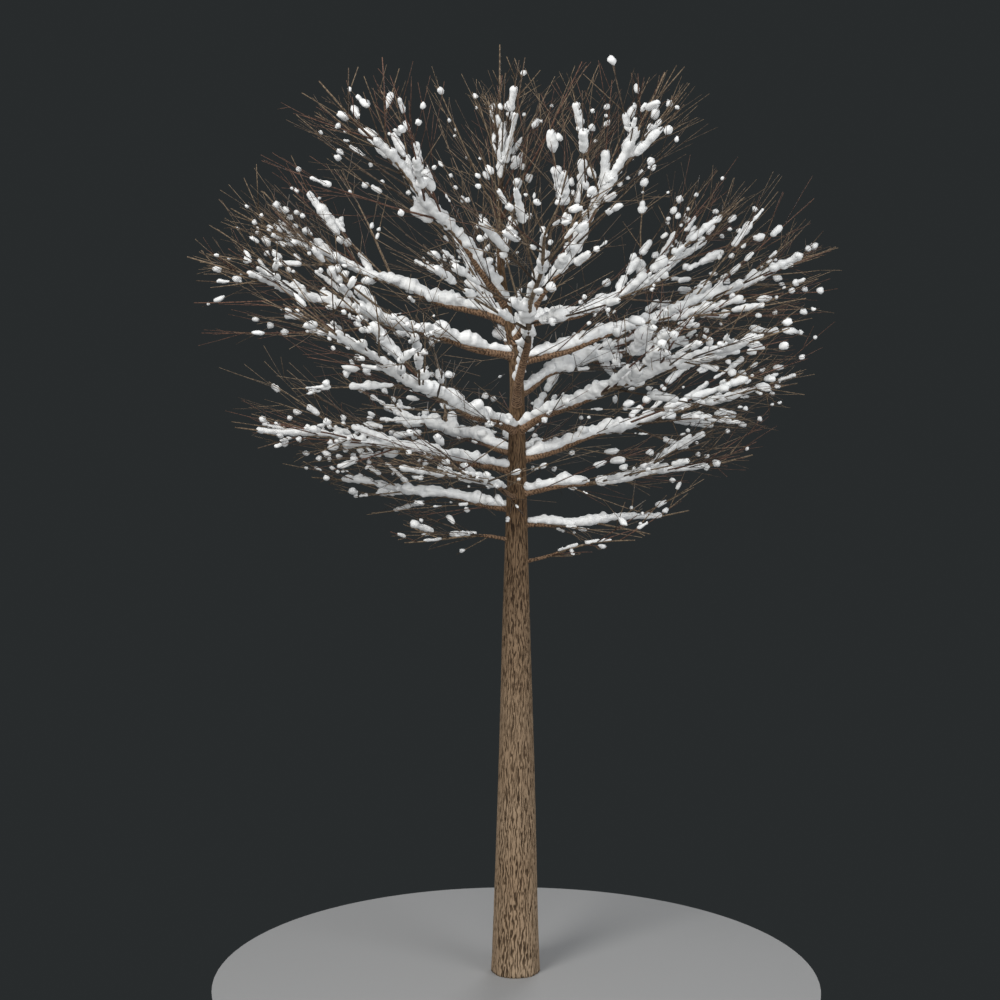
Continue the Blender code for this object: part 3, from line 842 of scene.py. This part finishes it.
def limb_rolls(verts, faces, limb):
    """Rolls of snow along a limb: sat on top by the trunk, wrapped round it further
    out. A stout limb has more of it, with no bare wood between its rolls."""
    bare = limb_root(limb) + LIMB_BARE[0 if limb.snowy else 1]
    share, end = rng.uniform(*SNOW_TO), limb.length * SNOW_END
    while end > bare and snow_share(limb_point(limb, end)) > share:
        end -= 0.03
    s = bare
    phase = limb.height * 31
    thin = min(1.0, 0.25 + 22 * limb.girth) * (1.0 if limb.snowy else DUSTED)
    while s < end - 0.15:
        stop = min(s + rng.uniform(*ROLL_LONG) * thin ** 2, end)
        middles, ways, radii = [], [], []
        for i in range(int((stop - s) / ROLL_STEP) + 1):
            d = s + i * ROLL_STEP
            t = (d - bare) / (end - bare)
            full = (0.72 + 0.28 * math.sin(math.pi * min(t * 1.5, 1))) * (1 - 0.18 * t * t)
            radius = ROLL_R * thin * (0.62 + 9.5 * limb.girth) * full * lumpy(d, phase)
            way = limb_way(limb, d)
            side, over = across_and_over(way)
            perch = (PERCH - WRAP * ease(t * 2.2)) * radius + 0.35 * limb_radius(limb, d)
            drift = side * (DRIFT * noise.noise(Vector((d / 0.2, phase, 3.0))))
            middles.append(limb_point(limb, d) + over * perch + drift)
            ways.append(way)
            radii.append(radius)
        roll(verts, faces, middles, ways, radii, ROLL_FLAT)
        for _ in range(int((stop - s) / LUMP_STEP)):
            k = rng.randrange(len(middles))
            side, over = across_and_over(ways[k])
            off = side * rng.choice((-1, 1)) * rng.uniform(0.5, 1.0) + over * rng.uniform(-0.5, 0.6)
            lump(verts, faces, middles[k] + off * radii[k], radii[k] * rng.uniform(*LUMP_SIZE))
        s = stop + (rng.uniform(-0.03, 0.05) if thin == 1.0 else rng.uniform(0.02, 0.20))


def arm_rolls(verts, faces, arm, plenty):
    """Shorter rolls along an arm, with bare wood between them, and none by the edge
    of the crown."""
    long = arm.length()
    stout = min(arm.thick / STOUT_ARM_R, STOUTEST)
    s = rng.uniform(*ARM_BARE)
    while s < ARM_SNOW_TO * long:
        stop = min(s + rng.triangular(*ARM_ROLL_LONG) * stout, ARM_SNOW_END * long)
        out = snow_share(between(arm.points, s / long)[0])
        chance = plenty * min(stout, 1) * (1 - ease((out - SPARSE_FROM) / SPARSE_WIDE))
        if rng.random() < chance and stop - s > 0.03:
            size = ARM_ROLL_R * stout * rng.uniform(*ARM_ROLL_SIZE)
            size *= 1 - ARM_ROLL_THINS * s / long
            phase = rng.uniform(0, 99)
            count = max(2, int((stop - s) / ROLL_STEP))
            middles, ways, radii = [], [], []
            for i in range(count + 1):
                d = s + (stop - s) * i / count
                middle, way = between(arm.points, d / long)
                radius = size * lumpy(d, phase)
                middles.append(middle + across_and_over(way)[1] * (0.30 * radius))
                ways.append(way)
                radii.append(radius)
            roll(verts, faces, middles, ways, radii, ARM_ROLL_FLAT)
        s = stop + rng.uniform(*ARM_GAP)


def snow_finish():
    """Packed snow: almost white, cooler in its hollows, with a fine crystal grain."""
    material, nodes, links, shader = new_finish("settled snow", specular=0.35)
    place = nodes.new("ShaderNodeTexCoord").outputs["Object"]
    soft = speckle(nodes, links, place, scale=9.0, detail=4.0).outputs["Fac"]
    grain = speckle(nodes, links, place, scale=140.0, detail=3.0).outputs["Fac"]
    colour = tones(nodes, links, soft, (0.35, SNOW_SHADE), (0.60, SNOW_COLOUR))
    links.new(colour, shader.inputs["Base Color"])
    rough_skin(nodes, links, shader, grain, SNOW_ROUGH, strength=0.25, depth=0.002)
    return material


def run_together(piece):
    """Rolls that meet become one skin, with soft dips where they join and small
    clods all over it."""
    melt = piece.modifiers.new("melt", "REMESH")
    melt.mode = "VOXEL"
    melt.voxel_size = GRAIN
    soften = piece.modifiers.new("soften", "SMOOTH")
    soften.factor = 0.5
    soften.iterations = 3
    graph = bpy.context.evaluated_depsgraph_get()
    mesh = bpy.data.meshes.new_from_object(piece.evaluated_get(graph))
    piece.modifiers.clear()
    skin = [(vert.co.copy(), vert.normal.copy()) for vert in mesh.vertices]
    moved = []
    for spot, out in skin:
        moved.extend(spot + out * (CLOD * noise.noise(spot / CLOD_WIDE)))
    mesh.vertices.foreach_set("co", moved)
    piece.data = mesh
    mesh.shade_smooth()


snow = snow_finish()
for tier, names in TIERS.items():
    verts, faces = [], []
    for name in names:
        if name != "top":
            limb_rolls(verts, faces, LIMBS[numbers[name]])
        for arm in grown[name]:
            if arm.level == 1:
                arm_rolls(verts, faces, arm, LEADER_PLENTY if name == "top" else ARM_PLENTY)
    rolls = mesh_piece("snow_rolls_" + tier, verts, faces)
    run_together(rolls)
    rolls.data.materials.clear()
    rolls.data.materials.append(snow)
    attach(rolls, "root")
    snowy = ["snow_" + name for name in names if "snow_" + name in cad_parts]
    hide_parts(*snowy, *("twigs_" + name for name in names))


# ---------------------------------------------------------------- the snow on twigs
# Snow that has balled up on the slender twigs: beads as small as a cherry and
# short rods as long as a finger, threaded on the wood like loose pearls.
BEAD_R = (0.012, 0.052, 0.020)      # smallest, largest, and what most are
BEAD_STRETCH = (1.0, 1.0, 1.1, 1.2, 1.4, 1.7, 2.3)
BEAD_UNEVEN = 0.50
BEAD_HIGH = 0.94                    # height of a bead, as a share of its width
TWIGLET_BEAD = 0.75                 # size of the beads on twiglets
BEAD_CHANCE = {2: 0.36, 3: 0.09}    # chance of a bead, on a twig and on a twiglet
ONE_MORE = 0.6                      # each bead makes a next one less likely by this
EDGE_FROM, EDGE_WIDE = 0.86, 0.14   # share of the crown where the beads grow rare
WINDY_FROM, WINDY_TALL = 8.2, 1.3   # heights where wind has taken some of them
WINDY = 0.65


def bead_shape():
    """Points and faces of a ball one unit in radius. Its faces are listed the other
    way round, because a twig's own directions mirror it."""
    shape = bmesh.new()
    bmesh.ops.create_icosphere(shape, subdivisions=2, radius=1.0)
    points = [vert.co.copy() for vert in shape.verts]
    faces = [[vert.index for vert in face.verts][::-1] for face in shape.faces]
    shape.free()
    return points, faces


BEAD_POINTS, BEAD_FACES = bead_shape()


def bead(verts, faces, middle, way, radius, stretch):
    """One ball of snow round a twig, drawn out along it and a little uneven."""
    flat, over = across_and_over(way)
    base = len(verts)
    phase = Vector((rng.uniform(0, 50), rng.uniform(0, 50), rng.uniform(0, 50)))
    for p in BEAD_POINTS:
        size = radius * (1 + BEAD_UNEVEN * noise.noise(p * 1.2 + phase))
        spot = way * (p.x * size * stretch) + flat * (p.y * size) + over * (p.z * size * BEAD_HIGH)
        verts.append(middle + spot + over * (0.3 * radius))
    faces += [tuple(base + i for i in face) for face in BEAD_FACES]


def twig_beads(verts, faces, twig):
    """A ball or two along a twig, near its root, and hardly any by the crown's edge."""
    out = snow_share(twig.points[0])
    high = ease((twig.points[0].z - WINDY_FROM) / WINDY_TALL)
    chance = BEAD_CHANCE[twig.level] * (1 - ease((out - EDGE_FROM) / EDGE_WIDE))
    chance *= 1 - WINDY * high
    while rng.random() < chance:
        middle, way = between(twig.points, min(rng.triangular(0.02, 0.90, 0.10), 0.9))
        radius = rng.triangular(*BEAD_R)
        if twig.level == 3:
            radius *= TWIGLET_BEAD
        bead(verts, faces, middle, way, radius, rng.choice(BEAD_STRETCH))
        chance *= ONE_MORE


for tier, names in TIERS.items():
    verts, faces = [], []
    for name in names:
        for twig in grown[name]:
            if twig.level > 1:
                twig_beads(verts, faces, twig)
    beads = mesh_piece("snow_beads_" + tier, verts, faces)
    beads.data.materials.append(snow)
    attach(beads, "root")
    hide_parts(*("twigs_" + name for name in names))


# ---------------------------------------------------------------- floor, light and camera
# A plain pale floor under the tree, large soft lamps round it, and a camera at
# half the tree's height that looks level at it.
FLOOR_R = 3.2
FLOOR_SIDES = 96
FLOOR_COLOUR = (0.30, 0.30, 0.30)
BACKDROP = (0.0215, 0.0245, 0.0255)
SKY = (0.90, 0.95, 1.0)
SKY_POWER = 0.22
# Each lamp's place, what it points at, its width, power in watts, and colour.
LAMPS = {
    "key": ((-7.0, -10.0, 15.0), (0, 0, 6.5), 6.0, 1950, (1.0, 0.985, 0.96)),
    "fill": ((9.0, -9.0, 9.0), (0, 0, 6.0), 8.0, 760, (0.98, 0.99, 1.0)),
    "front": ((0.0, -15.0, 3.0), (0, 0, 2.5), 5.0, 760, (1.0, 0.98, 0.95)),
    "back": ((3.0, 11.0, 13.0), (0, 0, 6.5), 7.0, 760, (0.97, 0.98, 1.0)),
}
CAMERA_PLACE = (-0.167, -14.93, 5.055)
LENS, SENSOR = 50.0, 36.0


def paint(name, colour):
    """Plain matt paint."""
    material, nodes, links, shader = new_finish(name, specular=0.1)
    shader.inputs["Base Color"].default_value = (*colour, 1)
    shader.inputs["Roughness"].default_value = 0.9
    return material


def lamp(name, place, target, size, power, colour):
    """A round soft lamp that points at a target."""
    data = bpy.data.lights.new(name, "AREA")
    data.shape = "DISK"
    data.size = size
    data.energy = power
    data.color = colour
    obj = bpy.data.objects.new(name, data)
    obj.location = place
    obj.rotation_euler = (Vector(target) - Vector(place)).to_track_quat("-Z", "Y").to_euler()
    bpy.context.scene.collection.objects.link(obj)


turns = [math.tau * j / FLOOR_SIDES for j in range(FLOOR_SIDES)]
rim = [Vector((FLOOR_R * math.cos(a), FLOOR_R * math.sin(a), -0.001)) for a in turns]
floor = mesh_piece("floor", rim, [tuple(range(FLOOR_SIDES))])
floor.data.materials.append(paint("floor paint", FLOOR_COLOUR))

for name, facts in LAMPS.items():
    lamp(name, *facts)

world = bpy.data.worlds.new("studio")
world.use_nodes = True
nodes, links = world.node_tree.nodes, world.node_tree.links
sky = nodes["Background"]
sky.inputs["Color"].default_value = (*SKY, 1)
sky.inputs["Strength"].default_value = SKY_POWER
wall = nodes.new("ShaderNodeBackground")
wall.inputs["Color"].default_value = (*BACKDROP, 1)
rays = nodes.new("ShaderNodeLightPath")
seen = nodes.new("ShaderNodeMixShader")
links.new(rays.outputs["Is Camera Ray"], seen.inputs["Fac"])
links.new(sky.outputs["Background"], seen.inputs[1])
links.new(wall.outputs["Background"], seen.inputs[2])
links.new(seen.outputs["Shader"], nodes["World Output"].inputs["Surface"])
bpy.context.scene.world = world

camera = bpy.data.objects.new("camera", bpy.data.cameras.new("camera"))
camera.data.lens = LENS
camera.data.sensor_width = SENSOR
camera.location = CAMERA_PLACE
camera.rotation_euler = (math.pi / 2, 0, 0)
bpy.context.scene.collection.objects.link(camera)
bpy.context.scene.camera = camera
bpy.context.scene.view_settings.view_transform = "Standard"
